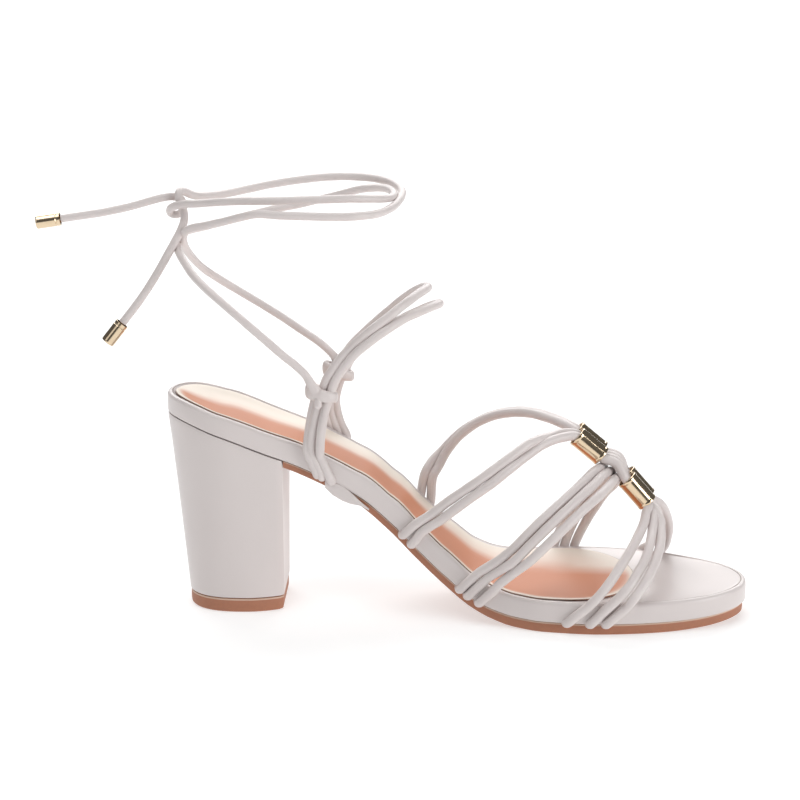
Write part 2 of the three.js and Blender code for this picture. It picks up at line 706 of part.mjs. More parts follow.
function tiePoints(name, route) {
  const start = bandMiddle(name);
  start.x -= legSpread;
  start.z += bandHeight / 2 + clearance;
  const upright = start.clone();
  upright.z += 2 * tieRadius;
  return [start, upright, ...route.map(([along, across, up]) => archPoint(along, across, up))];
}

// A closed metal cap that ends a cord, drawn along its own Y axis from the cord's end
function makeTieTip() {
  const rim = 0.4;
  const profile = [
    [0, clearance],
    [tieTipRadius - rim, clearance],
    [tieTipRadius, clearance + rim],
    [tieTipRadius, tieTipLength - rim],
    [tieTipRadius - rim, tieTipLength],
    [0, tieTipLength],
  ];
  return new THREE.LatheGeometry(profile.map(([radius, height]) => new THREE.Vector2(radius, height)), tubeSides);
}

// Materials
const patentLeather = { color: 0xcfc6c2, roughness: 0.28, metalness: 0 };
const tanLeather = { color: 0xc8876a, roughness: 0.6, metalness: 0 };
const tanRubber = { color: 0xaf7358, roughness: 0.7, metalness: 0 };
const goldMetal = { color: 0xc9b27c, roughness: 0.2, metalness: 1 };

const sandal = new THREE.Group();
const fromSeat = new THREE.Group(); // everything that is measured from the back of the seat
fromSeat.position.x = -heelSetback;
sandal.add(fromSeat);

function addPiece(name, geometry, finish) {
  const mesh = new THREE.Mesh(geometry, new THREE.MeshStandardMaterial(finish));
  mesh.name = name;
  fromSeat.add(mesh);
  return mesh;
}

addPiece("outsole", toGeometry(outsoleSolid), tanRubber);
addPiece("footbed", toGeometry(footbedSolid), patentLeather);
addPiece("insole_sock", makeInsole(), tanLeather);
addPiece("heel_block", makeHeelBlock(), patentLeather);
addPiece("heel_tip", makeHeelTip(), tanRubber);
addPiece("forefoot_straps", toGeometry(forefootSolid), patentLeather);
addPiece("instep_strap", toGeometry(instepSolid), patentLeather);

for (const pair of Object.keys(tubePairs)) {
  for (const [place, side] of [["inner", -1], ["outer", 1]]) {
    const tube = addPiece(`tube_${pair}_${place}`, makeTube(), goldMetal);
    tube.position.copy(onTube(pair, side, 0));
    tube.rotation.y = THREE.MathUtils.degToRad(tubePairs[pair].slope);
  }
}

for (const [place, route] of [["inner", innerTieRoute], ["outer", outerTieRoute]]) {
  const points = tiePoints(place, route);
  addPiece(`ankle_tie_${place}`, cordGeometry(points, tieRadius), patentLeather);
  const tip = addPiece(`tie_tip_${place}`, makeTieTip(), goldMetal);
  const end = points[points.length - 1];
  const direction = end.clone().sub(points[points.length - 2]).normalize();
  tip.position.copy(end);
  tip.quaternion.setFromUnitVectors(new THREE.Vector3(0, 1, 0), direction);
}

export default sandal;
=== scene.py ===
# Strappy block heel sandal for the left foot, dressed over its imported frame. Metres, +X to the toe,
# +Y to the outer side of the foot, +Z up, origin under the middle of the heel tip.
import math

import bmesh
import bpy
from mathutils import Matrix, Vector


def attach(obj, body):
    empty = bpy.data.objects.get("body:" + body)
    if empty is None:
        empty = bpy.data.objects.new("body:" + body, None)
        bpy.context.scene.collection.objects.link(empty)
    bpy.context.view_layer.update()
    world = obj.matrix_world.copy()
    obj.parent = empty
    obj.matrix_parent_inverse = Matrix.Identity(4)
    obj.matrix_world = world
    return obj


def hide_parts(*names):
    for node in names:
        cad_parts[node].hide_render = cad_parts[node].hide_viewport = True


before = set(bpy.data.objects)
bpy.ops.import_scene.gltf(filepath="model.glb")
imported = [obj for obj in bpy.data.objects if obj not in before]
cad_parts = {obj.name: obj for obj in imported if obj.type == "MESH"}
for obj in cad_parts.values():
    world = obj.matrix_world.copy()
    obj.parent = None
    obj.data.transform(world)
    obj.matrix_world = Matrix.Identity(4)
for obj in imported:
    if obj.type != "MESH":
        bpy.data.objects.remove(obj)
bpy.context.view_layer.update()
bpy.ops.object.select_all(action="DESELECT")

# Camera: a long lens a little above the shoe, square to its inner side, as a catalogue picture is
# taken.
photo_lens = bpy.data.cameras.new("photo_lens")
photo_lens.sensor_width = 36
photo_lens.lens = 147.42
photo_lens.clip_end = 30
photo_camera = bpy.data.objects.new("photo_camera", photo_lens)
photo_camera.location = (0.10837, -1.26061, 0.39692)
toward_shoe = Vector((0.06435, 0, 0.08242)) - photo_camera.location
photo_camera.rotation_euler = toward_shoe.to_track_quat("-Z", "Y").to_euler()
bpy.context.scene.collection.objects.link(photo_camera)
bpy.context.scene.camera = photo_camera

# Ankle tie: two round cords of thin leather rolled round a core, its long edges meeting in a fine
# seam. Each comes out of the band on its side of the instep strap, crosses the other behind the
# ankle, goes once round the ankle and leaves the knot at the back.
tie_radius = 0.0016
tie_root_swell = 0.45
swollen_points = 5
tie_point_spacing = 0.0015


def from_tenths(*rows):
    """Points in metres from rows of x, y and z in tenths of a millimetre."""
    return [tuple(value / 10000 for value in row) for row in rows]


inner_tie_route = from_tenths(
    (328, -300, 928), (309, -302, 960), (288, -303, 996), (248, -308, 1037), (202, -315, 1076),
    (145, -320, 1128), (69, -320, 1195), (-10, -300, 1259), (-90, -255, 1317), (-149, -200, 1361),
    (-187, -140, 1396), (-217, -75, 1426), (-232, -20, 1449), (-232, 25, 1468), (-216, 65, 1482),
    (-188, 105, 1486), (-140, 145, 1490), (-72, 187, 1502), (-3, 223, 1514), (63, 247, 1528),
    (134, 265, 1542), (214, 273, 1556), (294, 275, 1575), (375, 260, 1598), (432, 235, 1617),
    (486, 190, 1638), (536, 135, 1653), (578, 80, 1662), (607, 22, 1664), (621, -35, 1660),
    (614, -90, 1657), (587, -140, 1661), (538, -190, 1669), (453, -235, 1677), (353, -255, 1677),
    (250, -263, 1675), (146, -255, 1670), (39, -225, 1663), (-37, -190, 1653), (-104, -140, 1639),
    (-155, -90, 1627), (-198, -55, 1619), (-231, -38, 1609), (-256, -12, 1592), (-259, 12, 1571),
    (-242, 22, 1562), (-220, 28, 1567), (-209, 36, 1588), (-213, 38, 1613), (-233, 26, 1631),
    (-263, 10, 1636), (-297, 0, 1631), (-337, 0, 1620), (-416, 0, 1597), (-515, 0, 1575),
    (-606, 0, 1560), (-689, 0, 1547),
)
outer_tie_route = from_tenths(
    (392, 250, 889), (372, 260, 934), (316, 275, 987), (237, 292, 1038), (153, 305, 1092),
    (75, 305, 1141), (-8, 290, 1195), (-82, 260, 1248), (-144, 200, 1305), (-175, 150, 1348),
    (-196, 90, 1393), (-207, 35, 1434), (-207, -20, 1475), (-193, -70, 1511), (-164, -115, 1534),
    (-123, -160, 1550), (-76, -200, 1567), (-26, -235, 1585), (39, -270, 1608), (107, -295, 1626),
    (196, -315, 1625), (311, -320, 1623), (436, -310, 1620), (508, -280, 1619), (567, -230, 1619),
    (614, -155, 1627), (642, -70, 1641), (651, 20, 1659), (628, 95, 1670), (592, 155, 1675),
    (537, 210, 1677), (482, 250, 1675), (402, 280, 1672), (319, 300, 1664), (212, 305, 1650),
    (104, 295, 1633), (27, 265, 1621), (-40, 220, 1614), (-96, 160, 1616), (-142, 105, 1622),
    (-178, 60, 1634), (-201, 36, 1650), (-219, 8, 1659), (-223, -16, 1647), (-219, -18, 1626),
    (-210, -12, 1599), (-201, -22, 1577), (-200, -34, 1551), (-212, -52, 1515), (-232, -64, 1477),
    (-253, -74, 1439), (-293, -88, 1368), (-332, -98, 1304), (-383, -110, 1230), (-440, -120, 1157),
)


def run_cord_line(route, spacing):
    """A smooth line through a cord's points, with a point every spacing metres."""
    points = [Vector(p) for p in route]
    ends = [2 * points[0] - points[1], *points, 2 * points[-1] - points[-2]]
    fine = []
    pieces = 24
    for before, start, end, after in zip(ends, ends[1:], ends[2:], ends[3:]):
        pairs = ((before, start), (start, end), (end, after))
        lead, span, follow = [max(math.sqrt((b - a).length), 1e-4) for a, b in pairs]
        leave = (start - before) / lead - (end - before) / (lead + span) + (end - start) / span
        arrive = (end - start) / span - (after - start) / (span + follow) + (after - end) / follow
        leave, arrive = leave * span, arrive * span
        for i in range(pieces):
            t = i / pieces
            fine.append(
                start * (2 * t**3 - 3 * t**2 + 1) + leave * (t**3 - 2 * t**2 + t)
                + end * (3 * t**2 - 2 * t**3) + arrive * (t**3 - t**2)
            )
    fine.append(points[-1])
    run = [0.0]
    for a, b in zip(fine, fine[1:]):
        run.append(run[-1] + (b - a).length)
    count = max(4, round(run[-1] / spacing))
    line, k = [], 0
    for i in range(count + 1):
        place = run[-1] * i / count
        while k < len(run) - 2 and run[k + 1] < place:
            k += 1
        line.append(fine[k].lerp(fine[k + 1], (place - run[k]) / max(run[k + 1] - run[k], 1e-9)))
    return line


def roll_cord(name, line, radius, finish, widths=None):
    """A cord as a curve with a round bevel along a line of points, made a mesh. Its thickness wavers
    a little, as in a cord rolled by hand."""
    waver, waver_turn = 0.012, 0.83
    drift, drift_turn, drift_start = 0.01, 0.31, 1.7
    path = bpy.data.curves.new(name, "CURVE")
    path.dimensions = "3D"
    path.twist_mode = "MINIMUM"
    path.bevel_depth = radius
    path.bevel_resolution = 5
    path.use_fill_caps = True
    spline = path.splines.new("POLY")
    spline.points.add(len(line) - 1)
    for i, (point, place) in enumerate(zip(spline.points, line)):
        point.co = (*place, 1)
        uneven = waver * math.sin(i * waver_turn) + drift * math.sin(i * drift_turn + drift_start)
        point.radius = (widths[i] if widths else 1.0) * (1 + uneven)
    cord = bpy.data.objects.new(name, path)
    bpy.context.scene.collection.objects.link(cord)
    bpy.context.view_layer.objects.active = cord
    cord.select_set(True)
    bpy.ops.object.convert(target="MESH")
    cord = bpy.context.object
    bpy.ops.object.shade_smooth_by_angle(angle=math.radians(50))
    cord.select_set(False)
    cord.data.materials.append(finish)
    return cord


def build_hide_grain():
    """The grain of smooth leather: fine pores, a slow unevenness below them and a mottle of colour."""
    grain = bpy.data.node_groups.new("hide_grain", "ShaderNodeTree")
    for name, kind in (
        ("Vector", "NodeSocketVector"),
        ("Pore Scale", "NodeSocketFloat"),
        ("Wave Scale", "NodeSocketFloat"),
    ):
        grain.interface.new_socket(name, in_out="INPUT", socket_type=kind)
    for name in ("Height", "Mottle"):
        grain.interface.new_socket(name, in_out="OUTPUT", socket_type="NodeSocketFloat")
    nodes, links = grain.nodes, grain.links
    inlet = nodes.new("NodeGroupInput")
    outlet = nodes.new("NodeGroupOutput")
    pores = nodes.new("ShaderNodeTexVoronoi")
    pores.feature = "SMOOTH_F1"
    pores.inputs["Smoothness"].default_value = 0.6
    waves = nodes.new("ShaderNodeTexNoise")
    waves.inputs["Detail"].default_value = 3
    mottle = nodes.new("ShaderNodeTexNoise")
    mottle.inputs["Detail"].default_value = 2
    links.new(inlet.outputs["Vector"], pores.inputs["Vector"])
    links.new(inlet.outputs["Vector"], waves.inputs["Vector"])
    links.new(inlet.outputs["Vector"], mottle.inputs["Vector"])
    links.new(inlet.outputs["Pore Scale"], pores.inputs["Scale"])
    links.new(inlet.outputs["Wave Scale"], waves.inputs["Scale"])
    third = nodes.new("ShaderNodeMath")
    third.operation = "MULTIPLY"
    third.inputs[1].default_value = 0.3
    links.new(inlet.outputs["Wave Scale"], third.inputs[0])
    links.new(third.outputs[0], mottle.inputs["Scale"])
    weighed = nodes.new("ShaderNodeMath")
    weighed.operation = "MULTIPLY_ADD"
    weighed.inputs[1].default_value = 0.12
    links.new(pores.outputs["Distance"], weighed.inputs[0])
    links.new(waves.outputs["Fac"], weighed.inputs[2])
    links.new(weighed.outputs[0], outlet.inputs["Height"])
    links.new(mottle.outputs["Fac"], outlet.inputs["Mottle"])
    return grain


hide_grain = build_hide_grain()


def mix_colours(material, factor, low, high):
    """Mixes low, a colour or a node's output, with the colour high by a node's output."""
    nodes, links = material.node_tree.nodes, material.node_tree.links
    mix = nodes.new("ShaderNodeMix")
    mix.data_type = "RGBA"
    mix.inputs["B"].default_value = high
    if isinstance(low, tuple):
        mix.inputs["A"].default_value = low
    else:
        links.new(low, mix.inputs["A"])
    links.new(factor, mix.inputs["Factor"])
    return mix.outputs["Result"]


def wire_relief(material, shade, height, gloss_range, strength, depth):
    """Links shade to a material's roughness, within a range, and height to its bump."""
    nodes, links = material.node_tree.nodes, material.node_tree.links
    surface = nodes["Principled BSDF"]
    gloss = nodes.new("ShaderNodeMapRange")
    gloss.inputs["To Min"].default_value, gloss.inputs["To Max"].default_value = gloss_range
    links.new(shade, gloss.inputs["Value"])
    links.new(gloss.outputs["Result"], surface.inputs["Roughness"])
    bump = nodes.new("ShaderNodeBump")
    bump.inputs["Strength"].default_value = strength
    bump.inputs["Distance"].default_value = depth
    links.new(height, bump.inputs["Height"])
    links.new(bump.outputs["Normal"], surface.inputs["Normal"])


def finish_leather(name, pale, deep, rough, pore_scale, wave_scale, relief, marks=()):
    """Coated leather between two near colours. marks has pairs of an attribute of the mesh, 1 where a
    seam or a cut edge shows or where a highlight is painted, and its colour."""
    leather = bpy.data.materials.new(name)
    leather.use_nodes = True
    nodes, links = leather.node_tree.nodes, leather.node_tree.links
    surface = nodes["Principled BSDF"]
    place = nodes.new("ShaderNodeTexCoord")
    grain = nodes.new("ShaderNodeGroup")
    grain.node_tree = hide_grain
    grain.inputs["Pore Scale"].default_value = pore_scale
    grain.inputs["Wave Scale"].default_value = wave_scale
    links.new(place.outputs["Object"], grain.inputs["Vector"])
    colour = mix_colours(leather, grain.outputs["Mottle"], deep, pale)
    for mark, mark_colour in marks:
        attribute = nodes.new("ShaderNodeAttribute")
        attribute.attribute_name = mark
        colour = mix_colours(leather, attribute.outputs["Fac"], colour, mark_colour)
    links.new(colour, surface.inputs["Base Color"])
    gloss_range = (rough - 0.05, rough + 0.06)
    wire_relief(leather, grain.outputs["Mottle"], grain.outputs["Height"], gloss_range, 0.5, relief)
    return leather


cord_leather = finish_leather(
    "cord_leather", (0.735, 0.675, 0.66, 1), (0.67, 0.61, 0.595, 1), 0.42, 2600, 330, 0.00022
)
cord_leather.node_tree.nodes["Principled BSDF"].inputs["Coat Weight"].default_value = 0.12
cord_leather.node_tree.nodes["Principled BSDF"].inputs["Coat Roughness"].default_value = 0.3

inner_tie_line = run_cord_line(inner_tie_route, tie_point_spacing)
outer_tie_line = run_cord_line(outer_tie_route, tie_point_spacing)


def swell_root(line):
    """Widths of a tie's points: it is fuller over its first points, where it leaves the band."""
    return [1 + tie_root_swell * max(0, 1 - i / swollen_points) ** 1.5 for i in range(len(line))]


inner_tie = roll_cord(
    "ankle_tie_inner_cord", inner_tie_line, tie_radius, cord_leather, swell_root(inner_tie_line)
)
outer_tie = roll_cord(
    "ankle_tie_outer_cord", outer_tie_line, tie_radius, cord_leather, swell_root(outer_tie_line)
)

# Tie tips: a closed drawn metal cap on each end of the ankle tie, crimped on over the cord, with a
# soft edge at its closed end. Pale gold plate, polished.
tip_radius = 0.0027
tip_length = 0.0100
tip_sides = 48


def finish_gold(name):
    """Polished pale gold plate with faint hairlines and a little uneven gloss."""
    gold = bpy.data.materials.new(name)
    gold.use_nodes = True
    nodes, links = gold.node_tree.nodes, gold.node_tree.links
    surface = nodes["Principled BSDF"]
    place = nodes.new("ShaderNodeTexCoord")
    handling = nodes.new("ShaderNodeTexNoise")
    handling.inputs["Scale"].default_value = 420
    handling.inputs["Detail"].default_value = 4
    links.new(place.outputs["Object"], handling.inputs["Vector"])
    tone = mix_colours(gold, handling.outputs["Fac"], (0.68, 0.53, 0.36, 1), (0.78, 0.64, 0.46, 1))
    links.new(tone, surface.inputs["Base Color"])
    wire_relief(gold, handling.outputs["Fac"], handling.outputs["Fac"], (0.07, 0.2), 0.15, 0.00005)
    surface.inputs["Metallic"].default_value = 1.0
    return gold


pale_gold = finish_gold("pale_gold")


def skin_rings(name, rings, finish, close_start=False, close_end=False):
    """A circle with as many points as the first ring, set on it and extruded from ring to ring."""
    bpy.ops.mesh.primitive_circle_add(vertices=len(rings[0]), radius=0.01, fill_type="NOTHING")
    skin = bpy.context.object
    skin.name = name
    bpy.ops.object.mode_set(mode="EDIT")
    bpy.ops.mesh.select_all(action="SELECT")
    edit = bmesh.from_edit_mesh(skin.data)
    for vertex, place in zip(edit.verts, rings[0]):
        vertex.co = place
    if close_start:
        bpy.ops.mesh.edge_face_add()
        bpy.ops.mesh.select_mode(type="EDGE")
        bpy.ops.mesh.select_all(action="SELECT")
    for ring in rings[1:]:
        bpy.ops.mesh.extrude_edges_move()
        edit = bmesh.from_edit_mesh(skin.data)
        fresh = [vertex for vertex in edit.verts if vertex.select]
        for vertex, place in zip(fresh, ring):
            vertex.co = place
    if close_end:
        bpy.ops.mesh.edge_face_add()
    bmesh.update_edit_mesh(skin.data)
    bpy.ops.mesh.select_mode(type="VERT")
    bpy.ops.mesh.select_all(action="SELECT")
    bpy.ops.mesh.remove_doubles(threshold=1e-6)
    bpy.ops.mesh.normals_make_consistent(inside=False)
    bpy.ops.object.mode_set(mode="OBJECT")
    bpy.ops.object.shade_smooth_by_angle(angle=math.radians(35))
    skin.select_set(False)
    skin.data.materials.append(finish)
    return skin


def turned_rings(profile, middle, direction, count):
    """Rings of a turned piece: profile has pairs of radius and distance along direction."""
    turn = Vector((0, 0, 1)).rotation_difference(direction)
    rings = []
    for radius, along in profile:
        ring = []
        for k in range(count):
            angle = 2 * math.pi * k / count
            place = Vector((radius * math.cos(angle), radius * math.sin(angle), along))
            ring.append(middle + turn @ place)
        rings.append(ring)
    return rings


def fit_tip(name, line):
    """A turned cap on the end of a cord's line, with a crimped groove near its mouth."""
    direction = (line[-1] - line[-2]).normalized()
    mouth, edge = 0.0003, 0.0006
    wall, lip, groove = 0.00035, 0.0001, 0.00012
    core, dimple = 0.0008, 0.00005
    profile = [
        (tip_radius - wall, mouth + 0.0016), (tip_radius - wall, mouth), (tip_radius - lip, mouth),
        (tip_radius, mouth + lip), (tip_radius, mouth + 0.0012), (tip_radius - groove, mouth + 0.00135),
        (tip_radius - groove, mouth + 0.0016), (tip_radius, mouth + 0.00175), (tip_radius, mouth + 0.0019),
        (tip_radius, tip_length - 1.3 * edge), (tip_radius, tip_length - edge),
        (tip_radius - 0.2 * edge, tip_length - 0.4 * edge), (tip_radius - edge, tip_length),
        (tip_radius - 2 * edge, tip_length), (core, tip_length - dimple),
    ]
    rings = turned_rings(profile, line[-1], direction, tip_sides)
    tip = skin_rings(name, rings, pale_gold, True, True)
    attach(tip, "root")
    return tip


inner_tip = fit_tip("tie_tip_inner_cap", inner_tie_line)
outer_tip = fit_tip("tie_tip_outer_cap", outer_tie_line)
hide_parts("tie_tip_inner")
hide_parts("tie_tip_outer")
for tie, line, tip, node in (
    (inner_tie, inner_tie_line, inner_tip, "ankle_tie_inner"),
    (outer_tie, outer_tie_line, outer_tip, "ankle_tie_outer"),
):
    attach(tie, "root")
    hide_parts(node)
    length = sum((b - a).length for a, b in zip(line, line[1:]))
    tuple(line[0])

# Outsole: a thin moulded rubber sole under the arch and the forefoot, a little narrower than the
# footbed above it, glued on. Its edge is smooth and its underside has a low pebble.
sole_length = 230
ball_width = 80
seat_height = 75.3
footbed_thickness = 9
outsole_thickness = 4.2
seat_cup = 2.6
heel_round = 29
toe_round = 65
heel_setback = 28
heel_breast = 46.8
piece_gap = 0.3
seat_turn = 26
toe_turn = 42
seat_roundness = 2.1
slope_step = 0.004
SOLE_COLUMNS = ("along", "lift", "half", "centre", "footbed", "outsole", "cup")
SOLE_STATIONS = [
    (0.0, 1.0, 0.308, 0.0, 0.9, 0.6, 0.8),
    (0.09, 0.931, 0.308, 0.0, 0.9, 0.6, 1.0),
    (0.165, 0.843, 0.3, 0.0, 0.92, 0.6, 0.9),
    (0.235, 0.758, 0.284, -0.001, 0.93, 0.62, 0.7),
    (0.33, 0.606, 0.282, -0.002, 0.88, 0.64, 0.5),
    (0.387, 0.458, 0.284, -0.006, 0.84, 0.66, 0.4),
    (0.43, 0.325, 0.292, -0.015, 0.86, 0.7, 0.3),
    (0.478, 0.194, 0.318, -0.028, 0.88, 0.74, 0.3),
    (0.526, 0.084, 0.353, -0.042, 0.93, 0.8, 0.3),
    (0.565, 0.031, 0.388, -0.053, 0.96, 0.92, 0.35),
    (0.6, 0.008, 0.428, -0.061, 0.96, 1.0, 0.4),
    (0.652, 0.0, 0.475, -0.069, 0.95, 1.0, 0.4),
    (0.74, 0.0, 0.5, -0.08, 0.95, 1.0, 0.35),
    (0.848, 0.0, 0.5, -0.093, 0.95, 1.0, 0.25),
    (0.92, 0.009, 0.5, -0.12, 0.93, 0.95, 0.15),
    (1.0, 0.03, 0.5, -0.163, 0.9, 0.9, 0.0),
]


def sole_value(column, along):
    """A column of the sole's table at any place along it, by a smooth curve through its rows."""
    k = SOLE_COLUMNS.index(column)
    rows = SOLE_STATIONS
    here = min(max(along, 0), 1)
    i = max(1, next(j for j, row in enumerate(rows) if row[0] >= here))

    def slope(j):
        if j <= 0 or j >= len(rows) - 1:
            return 0
        before = (rows[j][k] - rows[j - 1][k]) / (rows[j][0] - rows[j - 1][0])
        after = (rows[j + 1][k] - rows[j][k]) / (rows[j + 1][0] - rows[j][0])
        return 0 if before * after <= 0 else 2 * before * after / (before + after)

    span = rows[i][0] - rows[i - 1][0]
    t = (here - rows[i - 1][0]) / span
    return (
        rows[i - 1][k] * (1 + 2 * t) * (1 - t) ** 2 + rows[i][k] * t * t * (3 - 2 * t)
        + span * (slope(i - 1) * t * (1 - t) ** 2 - slope(i) * t * t * (1 - t))
    )


def sole_section(x):
    """Heights, half width and middle of the sole at x millimetres from the seat's back."""
    along = x / sole_length
    lift_change = sole_value("lift", along + slope_step) - sole_value("lift", along - slope_step)
    stretch = math.hypot(1, lift_change * seat_height / (2 * slope_step * sole_length))
    back_fade = min(1, max(0, 1 - x / heel_round))
    toe_fade = min(1, max(0, 1 - (sole_length - x) / toe_round))
    rounding = math.sqrt(max(0, 1 - back_fade**seat_roundness)) * math.sqrt(max(0, 1 - toe_fade**2))
    full = sole_value("half", along) * ball_width
    under = sole_value("lift", along) * seat_height
    over = under + sole_value("outsole", along) * outsole_thickness * stretch
    top = over + piece_gap + sole_value("footbed", along) * footbed_thickness * stretch
    return {
        "under": under, "over": over, "bottom": over + piece_gap, "top": top,
        "full": full, "half": full * rounding,
        "centre": sole_value("centre", along) * ball_width, "cup": sole_value("cup", along) * seat_cup,
    }


def run_outline(back, front, half_at, count):
    """Points around a sole's outline, evenly spaced on its inner side and mirrored on its outer one,
    each with its outward normal and the point of the middle line that it faces."""
    fine = []
    fine_steps = 800
    for i in range(fine_steps + 1):
        x = back + (front - back) * (0.5 - 0.5 * math.cos(math.pi * i / fine_steps))
        fine.append((x, sole_section(x)["centre"] - half_at(x)))
    run = [0.0]
    for a, b in zip(fine, fine[1:]):
        run.append(run[-1] + math.dist(a, b))
    steps, k = [], 0
    for i in range(count // 2 + 1):
        place = run[-1] * i / (count // 2)
        while k < len(run) - 2 and run[k + 1] < place:
            k += 1
        t = (place - run[k]) / (run[k + 1] - run[k])
        steps.append(fine[k][0] + (fine[k + 1][0] - fine[k][0]) * t)
    even = [(x, sole_section(x)["centre"] - half_at(x)) for x in steps]
    even += [(x, sole_section(x)["centre"] + half_at(x)) for x in steps[-2:0:-1]]
    outline = []
    for i, (x, y) in enumerate(even):
        before, after = even[i - 1], even[(i + 1) % count]
        dx, dy = after[0] - before[0], after[1] - before[1]
        size = math.hypot(dx, dy)
        facing = min(max(x, back + seat_turn), front - toe_turn)
        outline.append((x, y, dy / size, -dx / size, facing, sole_section(facing)["centre"]))
    return outline


def sole_ring(outline, inset, share, height):
    """A ring of the sole: inset millimetres in from the outline, then share of the way that is left
    from the middle line. height gives z at x, y."""
    ring = []
    for x, y, nx, ny, mx, my in outline:
        px, py = x - nx * inset, y - ny * inset
        px, py = mx + (px - mx) * share, my + (py - my) * share
        ring.append(Vector((px - heel_setback, py, height(px, py))) * 0.001)
    return ring


def finish_rubber(name, pale, deep, speck_scale, relief):
    """Matt moulded rubber with a fine speckled tooth, cream where the mesh's pale mark is 1: a real
    cream line on the heel tip, a painted highlight along the outsole's top edge.
    """
    rubber = bpy.data.materials.new(name)
    rubber.use_nodes = True
    nodes, links = rubber.node_tree.nodes, rubber.node_tree.links
    surface = nodes["Principled BSDF"]
    place = nodes.new("ShaderNodeTexCoord")
    specks = nodes.new("ShaderNodeTexNoise")
    specks.inputs["Scale"].default_value = speck_scale
    specks.inputs["Detail"].default_value = 6
    links.new(place.outputs["Object"], specks.inputs["Vector"])
    tone = mix_colours(rubber, specks.outputs["Fac"], deep, pale)
    edge = nodes.new("ShaderNodeAttribute")
    edge.attribute_name = "cream_line_and_painted_highlight"
    tone = mix_colours(rubber, edge.outputs["Fac"], tone, (0.74, 0.58, 0.46, 1))
    links.new(tone, surface.inputs["Base Color"])
    wire_relief(rubber, specks.outputs["Fac"], specks.outputs["Fac"], (0.5, 0.72), 0.4, relief)
    return rubber


tan_rubber = finish_rubber("tan_rubber", (0.46, 0.2, 0.115, 1), (0.38, 0.155, 0.09, 1), 700, 0.00015)
outsole_inset = 1.2
outsole_front = sole_length - outsole_inset
outsole_steps = 70
OUTSOLE_PROFILE = [
    (1.1, 0), (0.35, 0.05), (0, 0.26), (0, 0.62), (0, 0.84), (0, 0.94), (0.12, 1), (1.5, 1),
]


def outsole_ring(shrink, level):
    """Level 0 is the underside and 1 the face under the footbed. The sole's back end is cut square."""
    ring = []
    back = heel_breast + piece_gap
    least_half = 0.02
    for side, order in ((-1, range(outsole_steps + 1)), (1, range(outsole_steps, -1, -1))):
        for i in order:
            x = back + (outsole_front - back) * math.sin(math.pi / 2 * (i / outsole_steps)) ** 1.15
            section = sole_section(x)
            toe_fade = min(1, max(0, 1 - (outsole_front - x) / toe_round))
            half = (section["full"] - outsole_inset) * math.sqrt(max(0, 1 - toe_fade**2)) - shrink
            y = section["centre"] + side * max(half, least_half)
            z = section["under"] + (section["over"] - section["under"]) * level
            ring.append(Vector((min(x, outsole_front - shrink) - heel_setback, y, z)) * 0.001)
    return ring


def place_key(place):
    return tuple(round(c, 6) for c in place)


def mark_points(piece, name, marked):
    """A named mark on the mesh's points: marked gives it, from 0 to 1, for each marked place."""
    marks = piece.data.attributes.new(name, "FLOAT", "POINT")
    marks.data.foreach_set("value", [marked.get(place_key(v.co), 0.0) for v in piece.data.vertices])


def mark_rings(piece, name, rings, chosen):
    """Marks the points of the chosen rings: chosen gives the mark for each ring's number."""
    mark_points(piece, name, {place_key(p): mark for i, mark in chosen.items() for p in rings[i]})


def middle_ring(ring):
    """A ring drawn together on the sole's middle line, which closes a piece along it."""
    return [
        Vector((p.x, sole_section(p.x * 1000 + heel_setback)["centre"] * 0.001, p.z)) for p in ring
    ]


outsole_rings = [outsole_ring(shrink, level) for shrink, level in OUTSOLE_PROFILE]
outsole_rings = [middle_ring(outsole_rings[0]), *outsole_rings, middle_ring(outsole_rings[-1])]
outsole = skin_rings("outsole_rubber", outsole_rings, tan_rubber)
# The pale line along the outsole's top edge is a painted highlight.
mark_rings(outsole, "cream_line_and_painted_highlight", outsole_rings, {6: 0.8, 7: 0.8})
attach(outsole, "root")
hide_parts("outsole")

# Footbed: a moulded board with thin foam on it, wrapped in the straps' leather, which is turned in
# under its edge. Its top is hollowed for the foot, with a rolled rim and a fine seam along it.
hollow_steep = 5
hollow_rim = 1.4
hollow_depth = 1.25
INNER_SHARES = (0.72, 0.48, 0.24, 0)
HOLLOW_INSETS = (2.5, 3.2, 4.2, 5.6, 7.4, 9.6)


def footbed_hollow(x, y):
    """Height of the footbed's hollowed top, in millimetres."""
    front_turn = sole_length - toe_turn
    section = sole_section(min(max(x, seat_turn), front_turn))
    across = abs(y - section["centre"]) / (section["half"] - hollow_rim)
    if x < seat_turn:
        across = math.hypot(across, (seat_turn - x) / (seat_turn - hollow_rim))
    elif x > front_turn:
        across = math.hypot(across, (x - front_turn) / (toe_turn - hollow_rim))
    here = sole_section(x)
    return here["top"] - hollow_depth * here["cup"] * (1 - min(across, 1) ** hollow_steep)


footbed_outline = run_outline(0.0, sole_length, lambda x: sole_section(x)["half"], 280)


def over_top(drop):
    return lambda x, y: sole_section(x)["top"] - drop


def over_bottom(rise):
    return lambda x, y: sole_section(x)["bottom"] + rise


